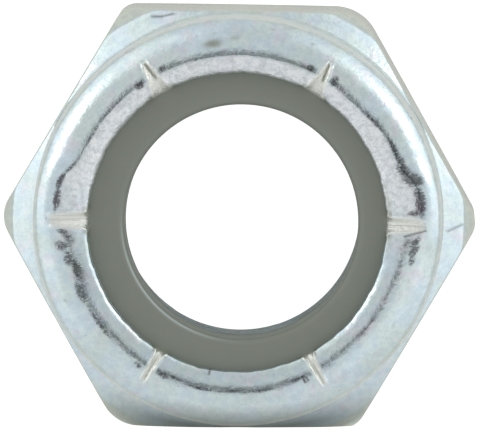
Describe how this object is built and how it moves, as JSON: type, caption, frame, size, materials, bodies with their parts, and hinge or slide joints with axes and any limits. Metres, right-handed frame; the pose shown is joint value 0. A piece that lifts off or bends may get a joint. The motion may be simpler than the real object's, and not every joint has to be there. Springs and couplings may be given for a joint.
{
  "type": "nylon insert lock nut",
  "caption": "Zinc plated steel hexagon lock nut whose rolled and staked collar holds a grey nylon ring that grips the bolt and keeps the nut from working loose.",
  "frame": {"origin": "middle of the bearing face, on the axis of the thread", "axes": "+Z along the thread from the bearing face to the rolled collar, +X to a corner of the hexagon, two flats square to Y"},
  "size_m": [0.0216, 0.019, 0.0151],
  "materials": {
    "zinc_plated_steel": "bright zinc plating with a pale bluish cast, matte where the lip was rolled",
    "grey_nylon": "plain matte grey nylon"
  },
  "bodies": {
    "root": {"nut_body": "zinc_plated_steel", "nylon_ring": "grey_nylon"}
  },
  "joints": []
}
